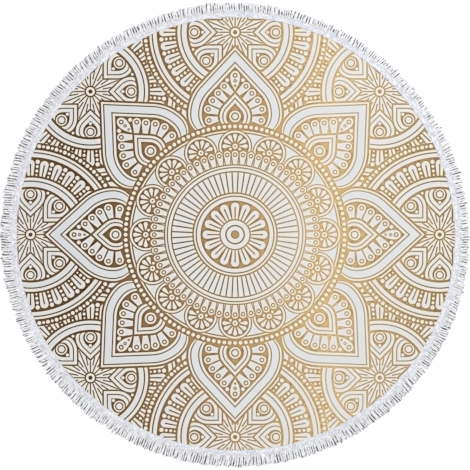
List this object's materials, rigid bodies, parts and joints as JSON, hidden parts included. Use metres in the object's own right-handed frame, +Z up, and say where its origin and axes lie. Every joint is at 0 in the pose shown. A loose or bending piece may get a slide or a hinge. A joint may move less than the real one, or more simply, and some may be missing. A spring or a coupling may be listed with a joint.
{
  "type": "round beach towel",
  "caption": "Large round beach towel of printed towelling, laid out flat, with a fringe trim sewn all round its edge.",
  "frame": {"origin": "middle of the underside, on the surface that the towel lies on", "axes": "+Z up, out of the printed face; +Y towards the top of the towel as it is seen from above"},
  "size_m": [1.5028, 1.4854, 0.0038],
  "materials": {
    "printed_towelling": "white microfibre towelling, short pile, with a printed golden pattern",
    "fringe_yarn": "white twisted yarn and woven tape, matt"
  },
  "bodies": {
    "root": {"cloth": "printed_towelling", "fringe": "fringe_yarn"}
  },
  "joints": []
}
